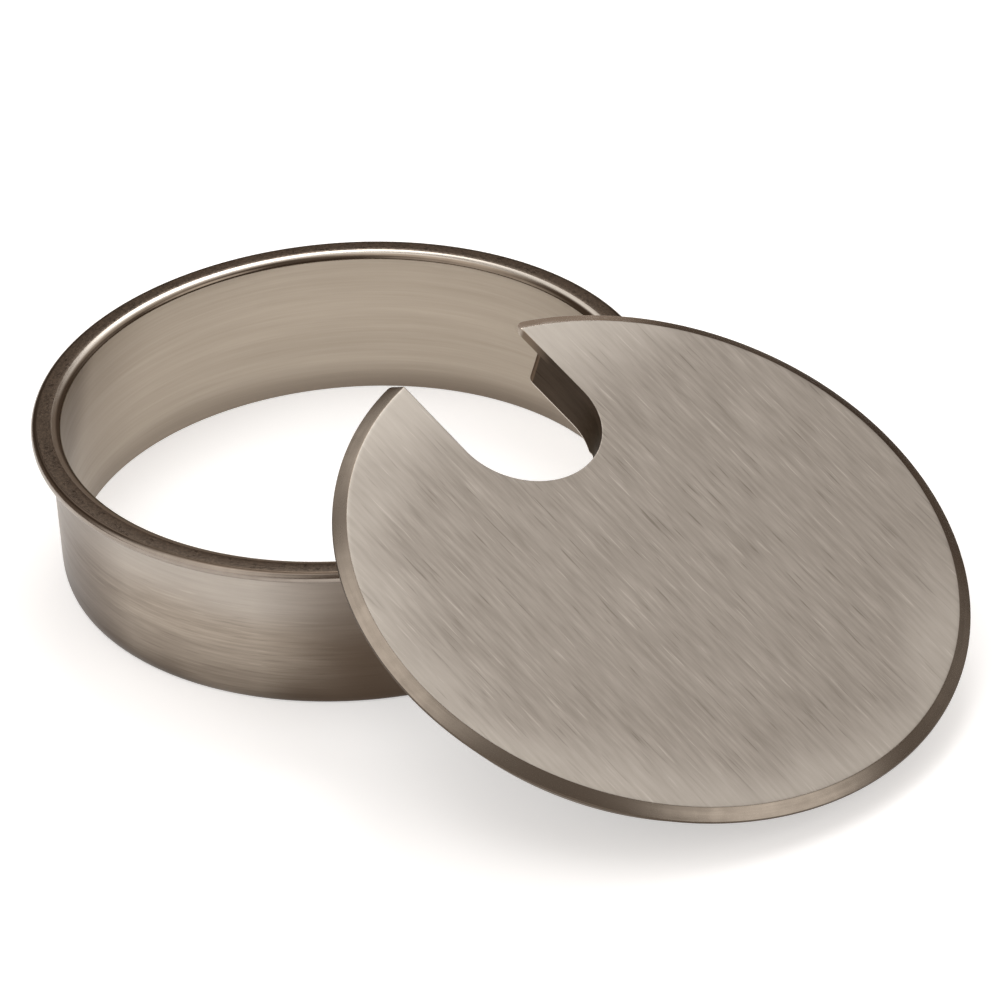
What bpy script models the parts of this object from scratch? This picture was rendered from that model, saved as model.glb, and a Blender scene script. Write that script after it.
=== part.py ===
"""Desk grommet in brushed metal: a flanged liner, and its notched cover propped on the liner's rim.

Metres, +Z up. The liner stands on z = 0. The cover is out of its seat: its skirt rests on the
surface and on the flange. The origin is under the middle of the pair's bounding box.
"""
import math

import bmesh
import bpy

MM = 0.001

# Liner: a sleeve with a flange, turned about its own axis
LINER_HEIGHT = 21.9 * MM
SLEEVE_RADIUS = 39.8 * MM
BORE_RADIUS = 38.2 * MM
FLANGE_RADIUS = 42.2 * MM
FLANGE_THICKNESS = 1.35 * MM
FLANGE_TOP_ROUND = 0.85 * MM
FLANGE_UNDER_ROUND = 0.25 * MM
LIP_RUN = 1.8 * MM
LIP_DROP = 0.9 * MM
LEAD_IN_RUN = 0.65 * MM
LEAD_IN_RISE = 1.9 * MM
FOOT_CHAMFER = 0.15 * MM

# Cover: a chamfered plate, a U-shaped cable notch, and a skirt that follows plate and notch
COVER_RADIUS = 41.95 * MM
COVER_CHAMFER_RUN = 1.7 * MM
COVER_CHAMFER_DROP = 0.85 * MM
PLATE_THICKNESS = 1.3 * MM
COVER_DEPTH = 6.95 * MM
SKIRT_RADIUS = 37.65 * MM
SKIRT_WALL = 1.5 * MM
NOTCH_HALF_WIDTH = 10.2 * MM
NOTCH_END_CENTRE = 26.25 * MM

# The wall round the notch's end is arched, which clears the liner's rim
ARCH_RISE = 2.95 * MM
ARCH_HALF_ANGLE = math.radians(60)
ARCH_FULLNESS = 0.7

# Where the cover lies: the middle of its face, its lean, and its turn in its own plane
COVER_CENTRE = (56.2 * MM, 3.15 * MM, 20.5 * MM)
COVER_LEAN = math.radians(21.6)
COVER_TURN = math.radians(178.44)

TURN_STEPS = 96
ROUND_STEPS = 4
COVER_ARC_STEPS = 88
NOTCH_ARC_STEPS = 36
MERGE_DISTANCE = 0.002 * MM
SHARP_ANGLE = math.radians(25)


def clear_scene():
    for item in list(bpy.data.objects):
        bpy.data.objects.remove(item, do_unlink=True)


def arc(centre, radii, start, end, steps):
    """Points of an elliptical arc, both ends included; angles in degrees."""
    points = []
    for step in range(steps + 1):
        angle = math.radians(start + (end - start) * step / steps)
        points.append((centre[0] + radii[0] * math.cos(angle), centre[1] + radii[1] * math.sin(angle)))
    return points


def brushed_metal(name, colour, roughness):
    material = bpy.data.materials.new(name)
    material.use_nodes = True
    shader = material.node_tree.nodes["Principled BSDF"]
    shader.inputs["Base Color"].default_value = (*colour, 1.0)
    shader.inputs["Metallic"].default_value = 1.0
    shader.inputs["Roughness"].default_value = roughness
    return material


def add_part(name, mesh_edit, material, parent):
    """Turns a bmesh into a named, smooth-shaded object under its parent."""
    mesh = bpy.data.meshes.new(name)
    bmesh.ops.recalc_face_normals(mesh_edit, faces=mesh_edit.faces)
    mesh_edit.to_mesh(mesh)
    mesh_edit.free()
    mesh.shade_smooth()
    mesh.set_sharp_from_angle(angle=SHARP_ANGLE)
    mesh.materials.append(material)
    part = bpy.data.objects.new(name, mesh)
    part.parent = parent
    bpy.context.collection.objects.link(part)
    return part


def add_empty(name, location=(0.0, 0.0, 0.0), parent=None):
    empty = bpy.data.objects.new(name, None)
    empty.location = location
    empty.parent = parent
    bpy.context.collection.objects.link(empty)
    return empty


def liner_profile():
    """The liner's half section as (radius, height), from the foot up the outside and down the bore."""
    top = LINER_HEIGHT
    underside = top - FLANGE_THICKNESS
    outer = FLANGE_RADIUS
    low, high = FLANGE_UNDER_ROUND, FLANGE_TOP_ROUND
    lead_in = (SLEEVE_RADIUS - LEAD_IN_RUN, LEAD_IN_RISE)
    profile = arc(lead_in, (LEAD_IN_RUN, LEAD_IN_RISE), -90, 0, ROUND_STEPS)
    profile.append((SLEEVE_RADIUS, underside))
    profile += arc((outer - low, underside + low), (low, low), -90, 0, ROUND_STEPS // 2)
    profile += arc((outer - high, top - high), (high, high), 0, 90, ROUND_STEPS)
    profile += arc((BORE_RADIUS + LIP_RUN, top - LIP_DROP), (LIP_RUN, LIP_DROP), 90, 180, ROUND_STEPS)
    profile += [(BORE_RADIUS, FOOT_CHAMFER), (BORE_RADIUS + FOOT_CHAMFER, 0.0)]
    return profile


def build_liner(parent):
    shape = bmesh.new()
    corners = [shape.verts.new((radius, 0.0, height)) for radius, height in liner_profile()]
    edges = [shape.edges.new((a, b)) for a, b in zip(corners, corners[1:] + corners[:1])]
    bmesh.ops.spin(
        shape, geom=corners + edges, cent=(0, 0, 0), axis=(0, 0, 1), dvec=(0, 0, 0),
        angle=2 * math.pi, steps=TURN_STEPS, use_duplicate=False,
    )
    bmesh.ops.remove_doubles(shape, verts=shape.verts, dist=MERGE_DISTANCE)
    metal = brushed_metal("liner_metal", (0.33, 0.29, 0.25), 0.35)
    return add_part("liner", shape, metal, parent)


def notched_outline(radius, half_width):
    """A circle with a U-shaped notch from +X, counter-clockwise from the notch's +Y lip.

    Each side of the notch has one more point where the skirt ends, so that plate and skirt share it.
    """
    lip = math.degrees(math.asin(half_width / radius))
    skirt_end = math.sqrt(SKIRT_RADIUS**2 - NOTCH_HALF_WIDTH**2)
    shoulder = min(skirt_end, math.sqrt(radius**2 - half_width**2))
    outline = arc((0.0, 0.0), (radius, radius), lip, 360 - lip, COVER_ARC_STEPS)
    outline.append((shoulder, -half_width))
    outline += arc((NOTCH_END_CENTRE, 0.0), (half_width, half_width), 270, 90, NOTCH_ARC_STEPS)
    outline.append((shoulder, half_width))
    return outline


def cover_levels():
    """Outlines and depths below the face, from the face down the outside and up the hollow."""
    inner_radius = SKIRT_RADIUS - SKIRT_WALL
    inner_notch = NOTCH_HALF_WIDTH + SKIRT_WALL
    return [
        (COVER_RADIUS - COVER_CHAMFER_RUN, NOTCH_HALF_WIDTH, 0.0),
        (COVER_RADIUS, NOTCH_HALF_WIDTH, COVER_CHAMFER_DROP),
        (COVER_RADIUS, NOTCH_HALF_WIDTH, PLATE_THICKNESS),
        (SKIRT_RADIUS, NOTCH_HALF_WIDTH, PLATE_THICKNESS),
        (SKIRT_RADIUS, NOTCH_HALF_WIDTH, COVER_DEPTH),
        (inner_radius, inner_notch, COVER_DEPTH),
        (inner_radius, inner_notch, PLATE_THICKNESS),
    ]


def arch_rise(x, y):
    """How far the wall round the notch's end stops above the skirt's foot at this point."""
    reach = math.hypot(x - NOTCH_END_CENTRE, y)
    angle = abs(math.atan2(y, NOTCH_END_CENTRE - x))
    if reach > NOTCH_HALF_WIDTH + SKIRT_WALL + MERGE_DISTANCE or angle >= ARCH_HALF_ANGLE:
        return 0.0
    return ARCH_RISE * (1 - (angle / ARCH_HALF_ANGLE) ** 2) ** ARCH_FULLNESS


def build_cover(parent):
    shape = bmesh.new()
    rings = []
    for radius, half_width, depth in cover_levels():
        ring = []
        for x, y in notched_outline(radius, half_width):
            rise = arch_rise(x, y) if depth == COVER_DEPTH else 0.0
            ring.append(shape.verts.new((x, y, rise - depth)))
        rings.append(ring)
    for upper, lower in zip(rings, rings[1:]):
        for index in range(len(upper)):
            after = (index + 1) % len(upper)
            shape.faces.new((upper[index], lower[index], lower[after], upper[after]))
    shape.faces.new(rings[0])
    shape.faces.new(rings[-1])
    bmesh.ops.remove_doubles(shape, verts=shape.verts, dist=MERGE_DISTANCE)
    metal = brushed_metal("cover_metal", (0.36, 0.32, 0.28), 0.38)
    cover = add_part("cover", shape, metal, parent)
    cover.rotation_euler = (0.0, 0.0, COVER_TURN)
    return cover


def centre_on_floor(root, parts):
    """Moves the root so that the origin is under the middle of the parts' bounding box."""
    bpy.context.view_layer.update()
    points = []
    for part in parts:
        points += [part.matrix_world @ vertex.co for vertex in part.data.vertices]
    for axis in (0, 1):
        spread = [point[axis] for point in points]
        root.location[axis] = -(min(spread) + max(spread)) / 2


def main():
    clear_scene()
    root = add_empty("grommet")
    liner = build_liner(root)
    lean = add_empty("cover_lean", COVER_CENTRE, root)
    lean.rotation_euler = (0.0, COVER_LEAN, 0.0)
    cover = build_cover(lean)
    centre_on_floor(root, [liner, cover])


main()
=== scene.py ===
"""Looks of the desk grommet: satin nickel liner and cover, studio light and the camera.

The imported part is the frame. Two finer pieces stand for its two nodes: grommet_liner and
grommet_cover. Metres, +Z up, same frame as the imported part.
"""

import math

import bmesh
import bpy
from mathutils import Matrix, Vector


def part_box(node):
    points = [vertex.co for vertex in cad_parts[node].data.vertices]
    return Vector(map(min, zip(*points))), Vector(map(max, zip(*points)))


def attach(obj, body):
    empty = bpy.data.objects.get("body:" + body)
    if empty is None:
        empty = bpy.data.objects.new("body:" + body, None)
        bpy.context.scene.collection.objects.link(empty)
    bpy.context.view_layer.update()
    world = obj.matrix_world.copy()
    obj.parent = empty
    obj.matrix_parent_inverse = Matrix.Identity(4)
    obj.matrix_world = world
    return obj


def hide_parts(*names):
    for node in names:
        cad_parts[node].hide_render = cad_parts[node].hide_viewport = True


MM = 0.001

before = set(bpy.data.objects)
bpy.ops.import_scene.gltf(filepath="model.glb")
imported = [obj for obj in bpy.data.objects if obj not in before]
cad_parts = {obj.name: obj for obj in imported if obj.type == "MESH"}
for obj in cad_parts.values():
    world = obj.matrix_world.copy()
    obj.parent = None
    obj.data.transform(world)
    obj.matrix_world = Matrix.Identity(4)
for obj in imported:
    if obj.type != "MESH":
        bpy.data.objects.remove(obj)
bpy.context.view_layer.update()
liner_low, liner_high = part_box("liner")

LINER_AXIS = Vector(((liner_low.x + liner_high.x) / 2, (liner_low.y + liner_high.y) / 2, 0.0))
FLANGE_RADIUS = (liner_high.x - liner_low.x) / 2
LINER_HEIGHT = liner_high.z - liner_low.z

# Liner section
SLEEVE_RADIUS = 39.8 * MM
BORE_RADIUS = 38.2 * MM
FLANGE_THICKNESS = 1.35 * MM
FLANGE_TOP_ROUND = 0.85 * MM
FLANGE_UNDER_ROUND = 0.25 * MM
FLANGE_FILLET = 0.45 * MM
LIP_RUN = 1.8 * MM
LIP_DROP = 0.9 * MM
LEAD_IN_RUN = 0.65 * MM
LEAD_IN_RISE = 1.9 * MM
FOOT_ROUND = 0.2 * MM

# Cover section and outline
COVER_RADIUS = 41.95 * MM
CHAMFER_RUN = 1.7 * MM
CHAMFER_DROP = 0.85 * MM
PLATE_THICKNESS = 1.3 * MM
COVER_DEPTH = 6.95 * MM
SKIRT_RADIUS = 37.65 * MM
SKIRT_WALL = 1.5 * MM
NOTCH_HALF_WIDTH = 10.2 * MM
NOTCH_END_CENTRE = 26.25 * MM
SKIRT_CORNER = 1.3 * MM
NOTCH_FOOT_ROUND = 0.45 * MM
SKIRT_FOOT_ROUND = 0.3 * MM
EDGE_BREAK = 0.12 * MM
FACE_TIP_ROUND = 0.08 * MM
PLATE_TIP_ROUND = 1.3 * MM
ARCH_RISE = 2.95 * MM
ARCH_HALF_ANGLE = math.radians(60)
ARCH_FULLNESS = 0.7

# Where the cover lies, from the liner's axis
COVER_CENTRE = Vector((56.2 * MM, 3.15 * MM, 20.5 * MM))
COVER_LEAN = math.radians(21.6)
COVER_TURN = math.radians(178.44)

# How many steps each stretch is made in
LINER_STEPS = 288
LEAD_IN_STEPS = 10
SLEEVE_STEPS = 6
FILLET_STEPS = 6
UNDER_ROUND_STEPS = 4
TOP_ROUND_STEPS = 10
LIP_STEPS = 15
PLAIN_LIP_STEPS = 3
BORE_STEPS = 8
FOOT_STEPS = 4
COVER_ARC_STEPS = 264
NOTCH_ARC_STEPS = 64
NOTCH_SIDE_STEPS = 6
CORNER_STEPS = 6
SKIRT_FOOT_STEPS = 5

SHARP_ANGLE = math.radians(24)
MERGE_DISTANCE = 0.002 * MM
TOLERANCE = 0.01 * MM
X_AXIS = (1.0, 0.0, 0.0)
Y_AXIS = (0.0, 1.0, 0.0)
Z_AXIS = (0.0, 0.0, 1.0)


# ---------------------------------------------------------------- mesh helpers

def arc(centre, radii, start, end, steps):
    """Points of an elliptical arc, both ends included; angles in degrees."""
    points = []
    for step in range(steps + 1):
        angle = math.radians(start + (end - start) * step / steps)
        points.append((centre[0] + radii[0] * math.cos(angle), centre[1] + radii[1] * math.sin(angle)))
    return points


def finish_mesh(name, shape, materials):
    """A smooth-shaded mesh from the bmesh, sharp only at its corners."""
    mesh = bpy.data.meshes.new(name)
    bmesh.ops.recalc_face_normals(shape, faces=shape.faces)
    shape.to_mesh(mesh)
    shape.free()
    for material in materials:
        mesh.materials.append(material)
    mesh.shade_smooth()
    mesh.set_sharp_from_angle(angle=SHARP_ANGLE)
    return mesh


def add_object(name, mesh):
    piece = bpy.data.objects.new(name, mesh)
    bpy.context.scene.collection.objects.link(piece)
    return piece


# ---------------------------------------------------------------- node helpers

class Graph:
    """Short calls for building a node tree."""

    def __init__(self, tree):
        self.tree = tree
        tree.nodes.clear()

    def node(self, kind, **settings):
        made = self.tree.nodes.new(kind)
        for key, value in settings.items():
            setattr(made, key, value)
        return made

    def put(self, socket, value):
        if isinstance(value, bpy.types.NodeSocket):
            self.tree.links.new(value, socket)
        else:
            socket.default_value = value

    def math(self, operation, a, b=0.0):
        made = self.node("ShaderNodeMath", operation=operation)
        self.put(made.inputs[0], a)
        self.put(made.inputs[1], b)
        return made.outputs[0]

    def vector(self, operation, a, b=None):
        made = self.node("ShaderNodeVectorMath", operation=operation)
        self.put(made.inputs[0], a)
        if b is not None:
            self.put(made.inputs[1], b)
        return made.outputs["Value" if operation in ("LENGTH", "DOT_PRODUCT") else "Vector"]

    def noise(self, coords, scale=1.0, detail=3.0, roughness=0.55, seed=0.0):
        made = self.node("ShaderNodeTexNoise", noise_dimensions="4D")
        self.put(made.inputs["Vector"], coords)
        self.put(made.inputs["W"], seed)
        self.put(made.inputs["Scale"], scale)
        self.put(made.inputs["Detail"], detail)
        self.put(made.inputs["Roughness"], roughness)
        return made.outputs["Fac"]

    def remap(self, value, low, high, to_low=0.0, to_high=1.0, smooth=False):
        made = self.node("ShaderNodeMapRange", clamp=True)
        made.interpolation_type = "SMOOTHSTEP" if smooth else "LINEAR"
        self.put(made.inputs["Value"], value)
        self.put(made.inputs["From Min"], low)
        self.put(made.inputs["From Max"], high)
        self.put(made.inputs["To Min"], to_low)
        self.put(made.inputs["To Max"], to_high)
        return made.outputs["Result"]

    def mix(self, factor, a, b):
        made = self.node("ShaderNodeMix", data_type="RGBA")
        self.put(made.inputs["Factor"], factor)
        self.put(made.inputs["A"], a)
        self.put(made.inputs["B"], b)
        return made.outputs["Result"]

    def combine(self, x, y, z):
        made = self.node("ShaderNodeCombineXYZ")
        for socket, value in zip(made.inputs, (x, y, z)):
            self.put(socket, value)
        return made.outputs[0]


def colour(red, green, blue):
    """An sRGB colour, 0 to 255, as linear RGBA."""
    linear = []
    for value in (red, green, blue):
        share = value / 255
        linear.append(share / 12.92 if share <= 0.04045 else ((share + 0.055) / 1.055) ** 2.4)
    return (*linear, 1.0)


def place_of(graph):
    """A point's place on its own piece, from the mesh, so that the finish moves with the piece."""
    return graph.node("ShaderNodeAttribute", attribute_name="place").outputs["Vector"]


def along(graph, position, axis):
    """How far the position reaches along an axis or a direction."""
    return graph.vector("DOT_PRODUCT", position, axis)


def flattened(graph, position):
    """The position without its height."""
    return graph.vector("MULTIPLY", position, (1.0, 1.0, 0.0))


def heading_of(graph, position):
    """Unit vector from the piece's own Z towards the position."""
    return graph.vector("NORMALIZE", flattened(graph, position))


# A noise value past these is a light or a dark line of a sparse layer
LIGHT_LINE = (0.60, 0.72)
DARK_LINE = (0.28, 0.40)


def streaks(graph, layers, coords_for):
    """Weighted sum of drawn-out noises, 0.5 on average. Each layer: length, width, weight, seed, sparse.

    A sparse layer is plain metal with scattered single lines, lighter and darker.
    """
    total = None
    for length, width, weight, seed, sparse in layers:
        value = graph.noise(coords_for(length, width), seed=seed)
        if sparse:
            light = graph.remap(value, *LIGHT_LINE, 0.5, 1.0)
            dark = graph.remap(value, *DARK_LINE, -0.5, 0.0)
            value = graph.math("ADD", light, dark)
        value = graph.math("MULTIPLY", value, weight)
        total = value if total is None else graph.math("ADD", total, value)
    return total


def streaks_along_x(graph, position, layers):
    """Lines drawn out along local X."""
    def coords_for(length, width):
        return graph.vector("MULTIPLY", position, (1 / length, 1 / width, 1 / width))
    return streaks(graph, layers, coords_for)


def streaks_round_z(graph, position, layers):
    """Lines drawn out round local Z: walls vary with height, flats with radius."""
    flat = flattened(graph, position)
    heading = graph.vector("NORMALIZE", flat)
    across = graph.math("ADD", along(graph, position, Z_AXIS), graph.vector("LENGTH", flat))

    def coords_for(length, width):
        turn = BORE_RADIUS / length
        round_z = graph.vector("MULTIPLY", heading, (turn, turn, 0.0))
        step = graph.combine(0.0, 0.0, graph.math("MULTIPLY", across, 1 / width))
        return graph.vector("ADD", round_z, step)
    return streaks(graph, layers, coords_for)


# The range of the grain that changes the roughness, how far it does, and how deep the bump is
ROUGH_GRAIN = (0.3, 0.7)
ROUGH_SWING = 0.06
BUMP_DEPTH = 0.02 * MM


def brushed(name, dark, light, roughness, layers, lines, contrast=0.5, bump=0.1, anisotropic=0.0,
            tangent=None, tint=None, edge_tint=None):
    """A satin metal. dark and light are the colours at the two ends of the grain.

    lines draws the layers out, a smaller contrast makes them stand out more, and tint changes the
    colour from place to place. edge_tint is what the metal reflects at a glancing angle.
    """
    material = bpy.data.materials.new(name)
    material.use_nodes = True
    graph = Graph(material.node_tree)
    output = graph.node("ShaderNodeOutputMaterial")
    shader = graph.node("ShaderNodeBsdfPrincipled")
    graph.put(output.inputs["Surface"], shader.outputs[0])
    position = place_of(graph)
    grain = lines(graph, position, layers)
    share = graph.remap(grain, 0.5 - contrast / 2, 0.5 + contrast / 2)
    surface = graph.mix(share, dark, light)
    if tint is not None:
        surface = tint(graph, position, surface)
    graph.put(shader.inputs["Base Color"], surface)
    shader.inputs["Metallic"].default_value = 1.0
    rough = graph.remap(grain, *ROUGH_GRAIN, roughness + ROUGH_SWING, roughness - ROUGH_SWING)
    graph.put(shader.inputs["Roughness"], rough)
    shader.inputs["Anisotropic"].default_value = anisotropic
    if edge_tint is not None:
        shader.inputs["Specular Tint"].default_value = edge_tint
    if tangent is not None:
        graph.put(shader.inputs["Tangent"], tangent(graph))
    bump_node = graph.node("ShaderNodeBump")
    bump_node.inputs["Strength"].default_value = bump
    bump_node.inputs["Distance"].default_value = BUMP_DEPTH
    graph.put(bump_node.inputs["Height"], grain)
    graph.put(shader.inputs["Normal"], bump_node.outputs[0])
    return material


def tangent_round_z(graph):
    """Along the circles round the piece's own Z."""
    return graph.vector("NORMALIZE", graph.vector("CROSS_PRODUCT", Z_AXIS, place_of(graph)))


def tangent_along_x(graph):
    """Along the cover's own X, which its UV map follows."""
    return graph.node("ShaderNodeTangent", direction_type="UV_MAP", uv_map="grain").outputs[0]


# ---------------------------------------------------------------- liner

def liner_profile():
    """Half section as (radius, height, zone), foot first, up the outside, down the bore."""
    top = LINER_HEIGHT
    under = top - FLANGE_THICKNESS
    drop = top - LIP_DROP
    outer = FLANGE_RADIUS
    low, high, fillet = FLANGE_UNDER_ROUND, FLANGE_TOP_ROUND, FLANGE_FILLET
    profile = []

    def add(points, zone):
        for radius, height in points:
            profile.append((radius, height, zone))

    lead_in = (LEAD_IN_RUN, LEAD_IN_RISE)
    add(arc((SLEEVE_RADIUS - LEAD_IN_RUN, LEAD_IN_RISE), lead_in, -90, 0, LEAD_IN_STEPS), "outside")
    straight = under - fillet - LEAD_IN_RISE
    for step in range(1, SLEEVE_STEPS):
        add([(SLEEVE_RADIUS, LEAD_IN_RISE + straight * step / SLEEVE_STEPS)], "outside")
    add(arc((SLEEVE_RADIUS + fillet, under - fillet), (fillet, fillet), 180, 90, FILLET_STEPS), "outside")
    add(arc((outer - low, under + low), (low, low), -90, 0, UNDER_ROUND_STEPS), "edge")
    add(arc((outer - high, top - high), (high, high), 0, 90, TOP_ROUND_STEPS)[:-1], "edge")
    add([(outer - high, top)], "flange")
    lip = arc((BORE_RADIUS + LIP_RUN, drop), (LIP_RUN, LIP_DROP), 90, 180, LIP_STEPS)[:-1]
    add(lip[:PLAIN_LIP_STEPS], "flange")
    add(lip[PLAIN_LIP_STEPS:], "lip")
    for step in range(BORE_STEPS + 1):
        add([(BORE_RADIUS, drop - (drop - FOOT_ROUND) * step / BORE_STEPS)], "inside")
    foot = arc((BORE_RADIUS + FOOT_ROUND, FOOT_ROUND), (FOOT_ROUND, FOOT_ROUND), 180, 270, FOOT_STEPS)
    add(foot[1:], "inside")
    return profile


def build_liner(materials):
    """Turns the half section about Z. The materials are in the order of the zones."""
    profile = liner_profile()
    zones = ("outside", "edge", "flange", "lip", "inside")
    shape = bmesh.new()
    place = shape.verts.layers.float_vector.new("place")
    rings = []
    for step in range(LINER_STEPS):
        angle = 2 * math.pi * step / LINER_STEPS
        ring = [shape.verts.new((r * math.cos(angle), r * math.sin(angle), z)) for r, z, _ in profile]
        for vertex in ring:
            vertex[place] = vertex.co
        rings.append(ring)
    for step, ring in enumerate(rings):
        after = rings[(step + 1) % LINER_STEPS]
        for index in range(len(profile)):
            following = (index + 1) % len(profile)
            face = shape.faces.new((ring[index], after[index], after[following], ring[following]))
            face.material_index = zones.index(profile[index][2])
    bmesh.ops.translate(shape, verts=shape.verts, vec=LINER_AXIS)
    return add_object("grommet_liner", finish_mesh("grommet_liner", shape, materials))


# ---------------------------------------------------------------- cover

def cover_outline(radius, half_width, corner):
    """A circle with the notch from +X, counter-clockwise from the +Y lip, with rounded lips.

    Every outline has the same number of points, so rings can be joined one to one.
    """
    inner = radius - corner
    offset = half_width + corner
    lip_x = math.sqrt(inner**2 - offset**2)
    lip = math.degrees(math.atan2(offset, lip_x))
    outline = arc((0.0, 0.0), (radius, radius), lip, 360 - lip, COVER_ARC_STEPS)
    outline += arc((lip_x, -offset), (corner, corner), -lip, 90, CORNER_STEPS)[1:]
    skirt_x = math.sqrt((SKIRT_RADIUS - SKIRT_CORNER) ** 2 - (NOTCH_HALF_WIDTH + SKIRT_CORNER) ** 2)
    shared_x = min(skirt_x, lip_x)
    span = shared_x - NOTCH_END_CENTRE
    for step in range(NOTCH_SIDE_STEPS):
        outline.append((shared_x - span * step / NOTCH_SIDE_STEPS, -half_width))
    outline += arc((NOTCH_END_CENTRE, 0.0), (half_width, half_width), 270, 90, NOTCH_ARC_STEPS)
    for step in range(NOTCH_SIDE_STEPS - 1, -1, -1):
        outline.append((shared_x - span * step / NOTCH_SIDE_STEPS, half_width))
    outline += arc((lip_x, offset), (corner, corner), -90, lip, CORNER_STEPS)[:-1]
    return outline


def cover_rings():
    """(radius, notch half width, corner, height, zone of the band below it), face first.

    Each edge of the plate is broken by rings a share of EDGE_BREAK away from the true edge.
    """
    notch = NOTCH_HALF_WIDTH
    face_radius = COVER_RADIUS - CHAMFER_RUN
    slope = math.atan2(CHAMFER_DROP, CHAMFER_RUN)
    edge = EDGE_BREAK
    out = edge * math.cos(slope)
    down = edge * math.sin(slope)
    rings = [
        (face_radius - 4 * edge, notch + 2 * edge, FACE_TIP_ROUND, 0.0, "face"),
        (face_radius - edge, notch + edge, FACE_TIP_ROUND, 0.0, "face"),
        (face_radius - 0.1 * edge, notch + 0.55 * edge, FACE_TIP_ROUND, -0.25 * down, "bevel"),
        (face_radius + out, notch + 0.2 * edge, FACE_TIP_ROUND, -down, "bevel"),
        (COVER_RADIUS - out, notch, PLATE_TIP_ROUND, -CHAMFER_DROP + down, "bevel"),
        (COVER_RADIUS - 0.2 * out, notch, PLATE_TIP_ROUND, -CHAMFER_DROP + 0.1 * down, "land"),
        (COVER_RADIUS, notch, PLATE_TIP_ROUND, -CHAMFER_DROP - 0.6 * edge, "land"),
        (COVER_RADIUS, notch, PLATE_TIP_ROUND, -PLATE_THICKNESS + edge, "land"),
        (COVER_RADIUS - edge, notch, PLATE_TIP_ROUND, -PLATE_THICKNESS, "hidden"),
        (SKIRT_RADIUS, notch, SKIRT_CORNER, -PLATE_THICKNESS, "wall"),
    ]
    for step in range(SKIRT_FOOT_STEPS + 1):
        angle = math.pi / 2 * step / SKIRT_FOOT_STEPS
        bend = 1 - math.cos(angle)
        radius = SKIRT_RADIUS - SKIRT_FOOT_ROUND * bend
        half_width = notch + NOTCH_FOOT_ROUND * bend
        height = -COVER_DEPTH + NOTCH_FOOT_ROUND * (1 - math.sin(angle))
        zone = "foot" if step < SKIRT_FOOT_STEPS else "hidden"
        rings.append((radius, half_width, SKIRT_CORNER, height, zone))
    inner_radius = SKIRT_RADIUS - SKIRT_WALL
    inner_notch = notch + SKIRT_WALL
    rings.append((inner_radius, inner_notch, SKIRT_CORNER, -COVER_DEPTH, "hidden"))
    rings.append((inner_radius, inner_notch, SKIRT_CORNER, -PLATE_THICKNESS, "hidden"))
    return rings


def arch_rise(x, y):
    """How far the wall round the notch's end stops above the skirt's foot at this point."""
    reach = math.hypot(x - NOTCH_END_CENTRE, y)
    angle = abs(math.atan2(y, NOTCH_END_CENTRE - x))
    if reach > NOTCH_HALF_WIDTH + SKIRT_WALL + TOLERANCE or angle >= ARCH_HALF_ANGLE:
        return 0.0
    return ARCH_RISE * (1 - (angle / ARCH_HALF_ANGLE) ** 2) ** ARCH_FULLNESS


def build_cover(materials):
    """Lofts the rings. In the notch the plate's edge is its own zone; outside it, so is the skirt.

    The materials are in the order of the zones.
    """
    zones = ("face", "bevel", "land", "wall", "foot", "hidden", "side", "skirt")
    notch_zones = {"bevel": "side", "land": "side"}
    rim_zones = {"wall": "skirt", "foot": "skirt"}
    half_way_down = -COVER_DEPTH / 2
    lie = Matrix.Translation(LINER_AXIS + COVER_CENTRE)
    lie = lie @ Matrix.Rotation(COVER_LEAN, 4, "Y") @ Matrix.Rotation(COVER_TURN, 4, "Z")
    shape = bmesh.new()
    place = shape.verts.layers.float_vector.new("place")
    rings = []
    bands = []
    for radius, half_width, corner, height, zone in cover_rings():
        ring = []
        for x, y in cover_outline(radius, half_width, corner):
            rise = arch_rise(x, y) if height < half_way_down else 0.0
            vertex = shape.verts.new((x, y, height + rise))
            vertex[place] = vertex.co
            ring.append(vertex)
        rings.append(ring)
        bands.append(zone)
    half_corner = CORNER_STEPS // 2
    for upper, lower, zone in zip(rings, rings[1:], bands):
        for index in range(len(upper)):
            after = (index + 1) % len(upper)
            face = shape.faces.new((upper[index], lower[index], lower[after], upper[after]))
            in_notch = COVER_ARC_STEPS + half_corner <= index < len(upper) - half_corner
            zone_here = (notch_zones if in_notch else rim_zones).get(zone, zone)
            face.material_index = zones.index(zone_here)
    shape.faces.new(rings[0]).material_index = zones.index("face")
    shape.faces.new(rings[-1]).material_index = zones.index("hidden")
    bmesh.ops.remove_doubles(shape, verts=shape.verts, dist=MERGE_DISTANCE)
    grain = shape.loops.layers.uv.new("grain")
    for face in shape.faces:
        for loop in face.loops:
            loop[grain].uv = (loop.vert[place].x / COVER_RADIUS, loop.vert[place].y / COVER_RADIUS)
    bmesh.ops.transform(shape, matrix=lie, verts=shape.verts)
    return add_object("grommet_cover", finish_mesh("grommet_cover", shape, materials))


# ---------------------------------------------------------------- materials

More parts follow.
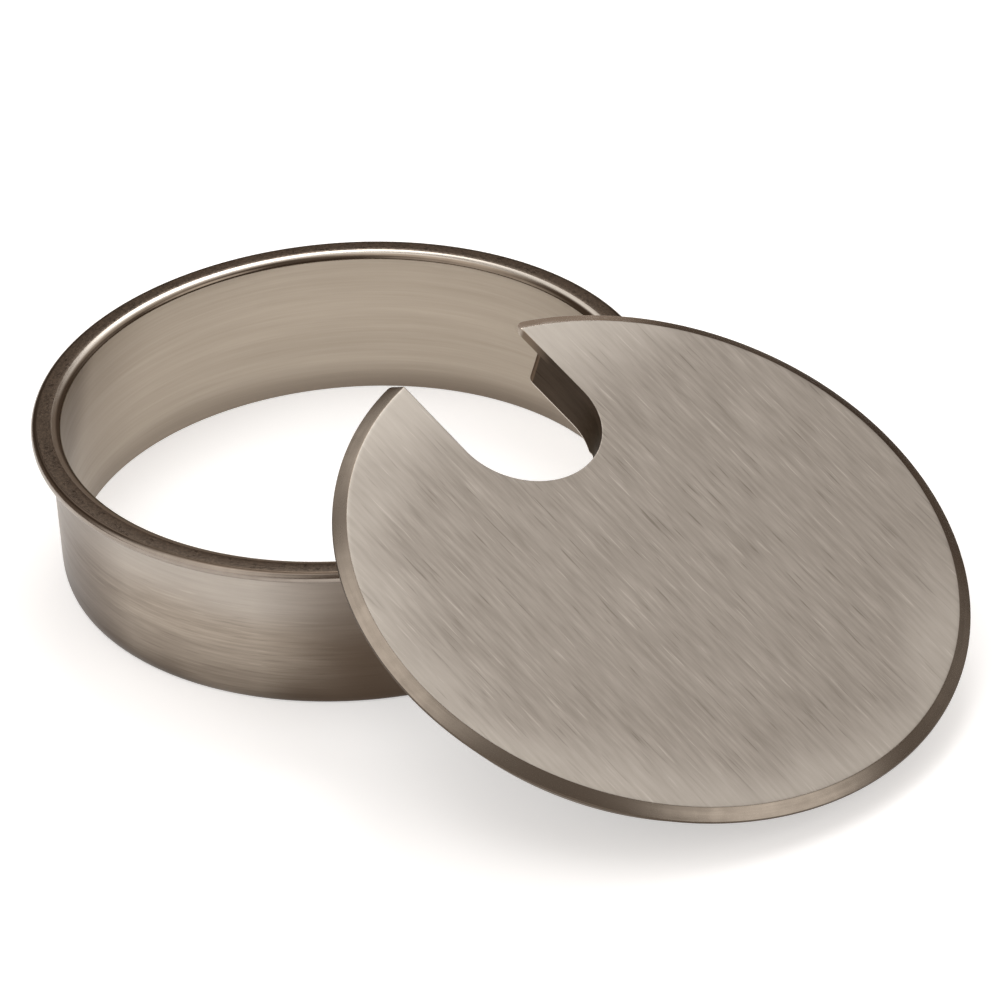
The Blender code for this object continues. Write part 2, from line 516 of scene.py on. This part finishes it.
INSIDE_LAYERS = (
    (34 * MM, 1.1 * MM, 0.35, 1.0, False),
    (14 * MM, 0.32 * MM, 0.35, 2.0, False),
    (50 * MM, 3.5 * MM, 0.30, 3.0, False),
)
OUTSIDE_LAYERS = (
    (16 * MM, 1.6 * MM, 0.30, 1.0, False),
    (8 * MM, 0.35 * MM, 0.30, 2.0, False),
    (50 * MM, 3.5 * MM, 0.15, 3.0, False),
    (7 * MM, 0.30 * MM, 0.25, 4.0, True),
)
FACE_LAYERS = (
    (8 * MM, 0.64 * MM, 0.38, 5.0, False),
    (3.5 * MM, 0.30 * MM, 0.08, 6.0, False),
    (12 * MM, 2.6 * MM, 0.12, 7.0, False),
    (9 * MM, 0.44 * MM, 0.42, 8.0, True),
)
SPECKLE_LAYERS = (
    (0.42 * MM, 0.32 * MM, 0.75, 11.0, False),
    (3 * MM, 1.2 * MM, 0.25, 12.0, False),
)
TURNED_LAYERS = (
    (10 * MM, 0.3 * MM, 0.6, 15.0, False),
    (2.0 * MM, 1.2 * MM, 0.4, 16.0, False),
)
# Glancing tint of the notch's walls, dimmed so that their painted shade stays dark
SHADED_EDGE_TINT = (0.5, 0.47, 0.44, 1.0)

# Directions round the pieces: +X is towards the notch on the cover, and towards the cover on the liner
# These sides steer where the painted highlights and painted shade of the materials below fall
FACE_PLAIN_SIDE = (0.29, -0.957, 0.0)
CHAMFER_SHADED_SIDE = (0.13, -0.99, 0.0)
SLEEVE_SHADOW_SIDE = (0.788, -0.616, 0.0)
SLEEVE_LOW_SHADE_SIDE = (-0.407, -0.914, 0.0)
BORE_SHADED_SIDE = (-0.7071, -0.7071, 0.0)
# The sleeve's soft stretches of painted shade: how many go round it, and how far the wave that makes them
# is shifted
SLEEVE_STRETCHES = 5
SLEEVE_STRETCH_TURN = math.radians(12)
# The edge of the bore's painted shade patch leans round the wall, by this much for each metre of height
PATCH_LEVEL = 19.4 * MM
PATCH_LEAN = 0.0415 / (8.1 * MM)


def painted_rim_highlight(graph, position, surface):
    """Painted highlight: the face is painted lighter in a band inside the rim, except along one side, and
    at the notch's points.
    """
    radius = graph.vector("LENGTH", position)
    uneven = graph.noise(position, scale=1 / (16 * MM), detail=1.0, seed=20.0)
    reach = graph.math("ADD", radius, graph.remap(uneven, 0.3, 0.7, -2.5 * MM, 2.5 * MM))
    band = graph.remap(reach, COVER_RADIUS - 11 * MM, COVER_RADIUS - 2.5 * MM, smooth=True)
    heading = graph.vector("NORMALIZE", position)
    plain_side = along(graph, heading, FACE_PLAIN_SIDE)
    band = graph.math("MULTIPLY", band, graph.remap(plain_side, 0.35, 0.8, 1.0, 0.1, smooth=True))
    tips = graph.remap(along(graph, position, X_AXIS), 22 * MM, 38 * MM, 0.0, 0.66, smooth=True)
    amount = graph.math("MAXIMUM", graph.math("MULTIPLY", band, 0.37), tips)
    return graph.mix(amount, surface, colour(174, 169, 162))


def chamfer_painted_light(graph, position, surface):
    """Painted reflection makes the chamfer lighter towards one of the notch's points, and painted shade
    darkens it on one side.
    """
    tips = graph.remap(along(graph, position, X_AXIS), 28 * MM, 37 * MM, 0.0, 1.0, smooth=True)
    one_side = graph.remap(along(graph, position, Y_AXIS), -3 * MM, 3 * MM, 1.0, 0.0)
    tips = graph.math("MULTIPLY", tips, one_side)
    surface = graph.mix(tips, surface, colour(250, 244, 236))
    shaded_side = along(graph, heading_of(graph, position), CHAMFER_SHADED_SIDE)
    dull = graph.remap(shaded_side, 0.94, 0.99, 0.0, 0.5, smooth=True)
    return graph.mix(dull, surface, colour(70, 58, 48))


def painted_tip_light(graph, position, surface):
    """Painted shade keeps the plate's edge in the notch dark; painted reflection lightens it towards the
    two points, and a painted highlight makes it bright at them.
    """
    reach = along(graph, position, X_AXIS)
    tips = graph.remap(reach, 32 * MM, 38 * MM, 0.0, 1.0, smooth=True)
    points = graph.remap(reach, 38.2 * MM, 39.2 * MM, 0.0, 1.0, smooth=True)
    surface = graph.mix(tips, surface, colour(150, 136, 121))
    return graph.mix(points, surface, colour(235, 227, 217))


def painted_notch_shade(graph, position, surface):
    """Painted shade darkens the notch's wall towards its round end; the painted shade is lifted to a
    lighter tone at its outer corners.
    """
    reach = along(graph, position, X_AXIS)
    end = graph.remap(reach, 18 * MM, 31 * MM, 0.6, 0.0, smooth=True)
    corner = graph.remap(reach, 34.4 * MM, 34.7 * MM, 0.0, 1.0, smooth=True)
    surface = graph.mix(end, surface, colour(30, 27, 25))
    return graph.mix(corner, surface, colour(122, 106, 93))


def painted_sleeve_shade(graph, position, surface):
    """Painted light and shade: the sleeve is lighter under the flange, darker low down and at its foot,
    and darker in soft stretches round it.

    One stretch is darker than the rest, a painted shadow of the cover, and another is painted darker low
    down.
    """
    uneven = graph.noise(position, scale=1 / (20 * MM), detail=1.0, seed=22.0)
    height = along(graph, position, Z_AXIS)
    height = graph.math("ADD", height, graph.remap(uneven, 0.3, 0.7, -2 * MM, 2 * MM))
    angle = graph.math("ARCTAN2", along(graph, position, Y_AXIS), along(graph, position, X_AXIS))
    wave = graph.math("ADD", graph.math("MULTIPLY", angle, SLEEVE_STRETCHES), SLEEVE_STRETCH_TURN)
    wave = graph.math("COSINE", wave)
    low = graph.remap(height, 0.0, 7 * MM, 0.58, 0.0, smooth=True)
    low = graph.math("MULTIPLY", low, graph.remap(wave, -1.0, 0.3, 1.6, 1.0))
    high = graph.remap(height, 9 * MM, 17 * MM, 0.0, 0.6, smooth=True)
    foot = graph.remap(height, 0.0, 3.2 * MM, 0.6, 0.0, smooth=True)
    surface = graph.mix(low, surface, colour(98, 86, 74))
    surface = graph.mix(high, surface, colour(176, 170, 163))
    surface = graph.mix(foot, surface, colour(64, 53, 44))
    heading = heading_of(graph, position)
    # dull is how much painted shade each stretch gets, most where the cover's shadow is painted
    dull = graph.remap(wave, -1.0, 0.3, 0.64, 0.0)
    most = graph.remap(along(graph, heading, SLEEVE_SHADOW_SIDE), 0.93, 1.0, 1.0, 1.45, smooth=True)
    dull = graph.math("MULTIPLY", dull, most)
    low_side_shade = graph.remap(along(graph, heading, SLEEVE_LOW_SHADE_SIDE), 0.85, 1.0, 0.0, 0.45, smooth=True)
    low_side_shade = graph.math("MULTIPLY", low_side_shade, graph.remap(height, 0.5 * MM, 13 * MM, 1.0, 0.25, smooth=True))
    surface = graph.mix(low_side_shade, surface, colour(74, 61, 50))
    dull = graph.math("MULTIPLY", dull, graph.remap(height, 9 * MM, 19 * MM, 1.0, 0.7))
    return graph.mix(dull, surface, colour(84, 70, 58))


def dull_top(graph, position, surface):
    """The rim's rounded edge is dull like the flange where it meets it."""
    height = along(graph, position, Z_AXIS)
    top = graph.remap(height, LINER_HEIGHT - 0.22 * MM, LINER_HEIGHT - 0.08 * MM, 0.0, 1.0, smooth=True)
    return graph.mix(top, surface, colour(90, 79, 69))


def painted_lip_highlight(graph, position, surface):
    """Painted highlight: the lip is painted lighter where it turns over, and plain where it runs down into
    the bore.
    """
    height = along(graph, position, Z_AXIS)
    top = graph.remap(height, LINER_HEIGHT - 0.32 * MM, LINER_HEIGHT - 0.15 * MM, 0.0, 1.0, smooth=True)
    return graph.mix(top, surface, colour(190, 184, 176))


def shaded_bore(graph, position, surface):
    """Painted shade: the inside wall is darker in its last millimetres, and below the lip on one side."""
    height = along(graph, position, Z_AXIS)
    heading = heading_of(graph, position)
    low = graph.remap(height, 0.3 * MM, 4.5 * MM, 0.42, 0.0, smooth=True)
    low = graph.math("MULTIPLY", low, graph.remap(along(graph, heading, Y_AXIS), 0.0, 0.9, 1.0, 2.0))
    surface = graph.mix(low, surface, colour(120, 108, 96))
    slant = graph.math("MULTIPLY", graph.math("SUBTRACT", height, PATCH_LEVEL), PATCH_LEAN)
    side = graph.math("ADD", along(graph, heading, BORE_SHADED_SIDE), slant)
    near = graph.remap(side, 0.92, 0.98, 0.0, 0.45, smooth=True)
    far = graph.remap(side, 0.70, 0.97, 0.0, 0.34, smooth=True)
    surface = graph.mix(far, surface, colour(110, 97, 84))
    return graph.mix(near, surface, colour(80, 66, 55))


def make_liner_materials():
    outside = brushed("nickel_outside", colour(131, 121, 110), colour(167, 156, 143), 0.33, OUTSIDE_LAYERS,
                      streaks_round_z, contrast=0.22, anisotropic=0.5, tangent=tangent_round_z,
                      tint=painted_sleeve_shade)
    edge = brushed("nickel_edge", colour(130, 121, 112), colour(160, 151, 142), 0.22, TURNED_LAYERS,
                   streaks_round_z, contrast=0.5, tint=dull_top)
    flange = brushed("nickel_flange", colour(60, 50, 42), colour(154, 142, 130), 0.24, SPECKLE_LAYERS,
                     streaks_round_z, contrast=0.3, bump=0.3)
    lip = brushed("nickel_lip", colour(102, 91, 80), colour(128, 117, 105), 0.20, TURNED_LAYERS,
                  streaks_round_z, contrast=0.5, tint=painted_lip_highlight)
    inside = brushed("nickel_inside", colour(157, 146, 132), colour(178, 167, 153), 0.36, INSIDE_LAYERS,
                     streaks_round_z, contrast=0.5, anisotropic=0.5, tangent=tangent_round_z,
                     tint=shaded_bore)
    return outside, edge, flange, lip, inside


def make_cover_materials():
    face = brushed("nickel_face", colour(112, 106, 99), colour(150, 144, 137), 0.36, FACE_LAYERS,
                   streaks_along_x, contrast=0.31, anisotropic=0.5, tangent=tangent_along_x, tint=painted_rim_highlight)
    bevel = brushed("nickel_bevel", colour(113, 105, 96), colour(139, 130, 120), 0.25, TURNED_LAYERS,
                    streaks_round_z, contrast=0.5, tint=chamfer_painted_light)
    land = brushed("nickel_land", colour(72, 62, 53), colour(98, 88, 78), 0.35, TURNED_LAYERS,
                   streaks_round_z, contrast=0.5)
    # The notch's wall is the cover's nickel painted dark with shade
    wall = brushed("nickel_wall", colour(66, 57, 50), colour(86, 77, 69), 0.45, FACE_LAYERS,
                   streaks_along_x, contrast=0.5, tint=painted_notch_shade, edge_tint=SHADED_EDGE_TINT)
    # A painted highlight: the skirt's rounded foot in the notch is painted light
    foot = brushed("nickel_foot", colour(180, 168, 155), colour(200, 189, 176), 0.30, FACE_LAYERS,
                   streaks_along_x, contrast=0.5)
    hidden = brushed("nickel_under", colour(110, 101, 92), colour(138, 129, 119), 0.38, TURNED_LAYERS,
                     streaks_round_z, contrast=0.5)
    # The plate's edge in the notch is the cover's nickel painted dark with shade
    side = brushed("nickel_side", colour(66, 57, 50), colour(86, 77, 69), 0.45, FACE_LAYERS,
                   streaks_along_x, contrast=0.5, tint=painted_tip_light, edge_tint=SHADED_EDGE_TINT)
    skirt = brushed("nickel_skirt", colour(112, 103, 94), colour(142, 133, 123), 0.36, OUTSIDE_LAYERS,
                    streaks_round_z, contrast=0.3, anisotropic=0.5, tangent=tangent_round_z)
    return face, bevel, land, wall, foot, hidden, side, skirt


# ---------------------------------------------------------------- stage, light and camera

FLOOR_RADIUS = 0.28
FLOOR_COLOUR = (0.88, 0.89, 0.90, 1.0)
FLOOR_GLOW = 0.45
FLOOR_ROUGHNESS = 0.9
FLOOR_STEPS = 128
# Soft boxes: azimuth and elevation in degrees, inner and outer half angle, strength
SOFT_BOXES = (
    (-135, 72, 8, 26, 2.0),
    (20, 40, 8, 24, 2.0),
    (96, 58, 14, 30, 1.2),
    (132, 54, 9, 14, 3.2),
    (161, 46, 3, 15, 1.1),
    (68, 17, 6, 22, 0.3),
    (-36, 63, 8, 20, 0.15),
    (-98, 24, 20, 44, 1.2),
)
AMBIENT = (0.20, 0.15, 0.115)
LIGHT_TINT = (1.0, 0.985, 0.965)
WHITE = (1.0, 1.0, 1.0, 1.0)


def direction(azimuth, elevation):
    """Unit vector; angles in degrees, azimuth from +X towards +Y."""
    a, e = math.radians(azimuth), math.radians(elevation)
    return (math.cos(a) * math.cos(e), math.sin(a) * math.cos(e), math.sin(e))


def build_world():
    """Soft boxes and a dim warm room light the object; the camera sees plain white behind it."""
    world = bpy.data.worlds.new("studio")
    bpy.context.scene.world = world
    world.use_nodes = True
    graph = Graph(world.node_tree)
    output = graph.node("ShaderNodeOutputWorld")
    towards = graph.node("ShaderNodeTexCoord").outputs["Generated"]
    total = 0.0
    for azimuth, elevation, inner, outer, strength in SOFT_BOXES:
        facing = along(graph, towards, direction(azimuth, elevation))
        low, high = math.cos(math.radians(outer)), math.cos(math.radians(inner))
        box = graph.remap(facing, low, high, 0.0, strength, smooth=True)
        total = graph.math("ADD", total, box)
    light = graph.node("ShaderNodeBackground")
    glow = graph.vector("MULTIPLY", graph.combine(total, total, total), LIGHT_TINT)
    graph.put(light.inputs["Color"], graph.vector("ADD", glow, AMBIENT))
    backdrop = graph.node("ShaderNodeBackground")
    graph.put(backdrop.inputs["Color"], WHITE)
    seen = graph.node("ShaderNodeMixShader")
    graph.put(seen.inputs[0], graph.node("ShaderNodeLightPath").outputs["Is Camera Ray"])
    graph.put(seen.inputs[1], light.outputs[0])
    graph.put(seen.inputs[2], backdrop.outputs[0])
    graph.put(output.inputs["Surface"], seen.outputs[0])


def build_floor():
    """A pale disc with a faint glow of its own, which keeps the shadows pale."""
    shape = bmesh.new()
    bmesh.ops.create_circle(shape, cap_ends=True, radius=FLOOR_RADIUS, segments=FLOOR_STEPS)
    mesh = bpy.data.meshes.new("floor")
    shape.to_mesh(mesh)
    shape.free()
    material = bpy.data.materials.new("floor")
    material.use_nodes = True
    shader = material.node_tree.nodes["Principled BSDF"]
    shader.inputs["Base Color"].default_value = FLOOR_COLOUR
    shader.inputs["Emission Color"].default_value = WHITE
    shader.inputs["Emission Strength"].default_value = FLOOR_GLOW
    shader.inputs["Roughness"].default_value = FLOOR_ROUGHNESS
    shader.inputs["Specular IOR Level"].default_value = 0.0
    mesh.materials.append(material)
    add_object("floor", mesh)


# Camera: its turn round the liner, height angle and small aim corrections, in degrees
CAMERA_TURN = 50.51
CAMERA_PITCH = 31.912
CAMERA_PAN = -1.561
CAMERA_TILT = -1.198
CAMERA_ROLL = -4.535
# The distance is in flange radii, lens and sensor in millimetres, near and far in metres
CAMERA_DISTANCE = 17.186
CAMERA_LENS = 194.51
CAMERA_SENSOR = 36.0
CAMERA_NEAR = 0.01
CAMERA_FAR = 20.0


def build_camera():
    """Stands CAMERA_DISTANCE flange radii from the middle of the flange's top."""
    pitch = math.radians(CAMERA_PITCH)
    back = Vector((0.0, -math.cos(pitch), math.sin(pitch)))
    right = Vector((1.0, 0.0, 0.0))
    up = back.cross(right)
    base = Matrix((right, up, back)).transposed()
    pan = Matrix.Rotation(math.radians(CAMERA_PAN), 3, "Y")
    tilt = Matrix.Rotation(math.radians(CAMERA_TILT), 3, "X")
    roll = Matrix.Rotation(math.radians(CAMERA_ROLL), 3, "Z")
    turn = Matrix.Rotation(math.radians(CAMERA_TURN), 3, "Z")
    target = LINER_AXIS + Vector((0.0, 0.0, LINER_HEIGHT))
    data = bpy.data.cameras.new("camera")
    data.lens = CAMERA_LENS
    data.sensor_width = CAMERA_SENSOR
    data.clip_start = CAMERA_NEAR
    data.clip_end = CAMERA_FAR
    camera = bpy.data.objects.new("camera", data)
    bpy.context.scene.collection.objects.link(camera)
    rotation = (turn @ base @ pan @ tilt @ roll).to_4x4()
    place = target + turn @ back * (CAMERA_DISTANCE * FLANGE_RADIUS)
    camera.matrix_world = Matrix.Translation(place) @ rotation
    bpy.context.scene.camera = camera


liner = build_liner(make_liner_materials())
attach(liner, "liner")
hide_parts("liner")
cover = build_cover(make_cover_materials())
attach(cover, "cover")
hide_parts("cover")

build_world()
build_floor()
build_camera()
bpy.context.scene.view_settings.view_transform = "Standard"
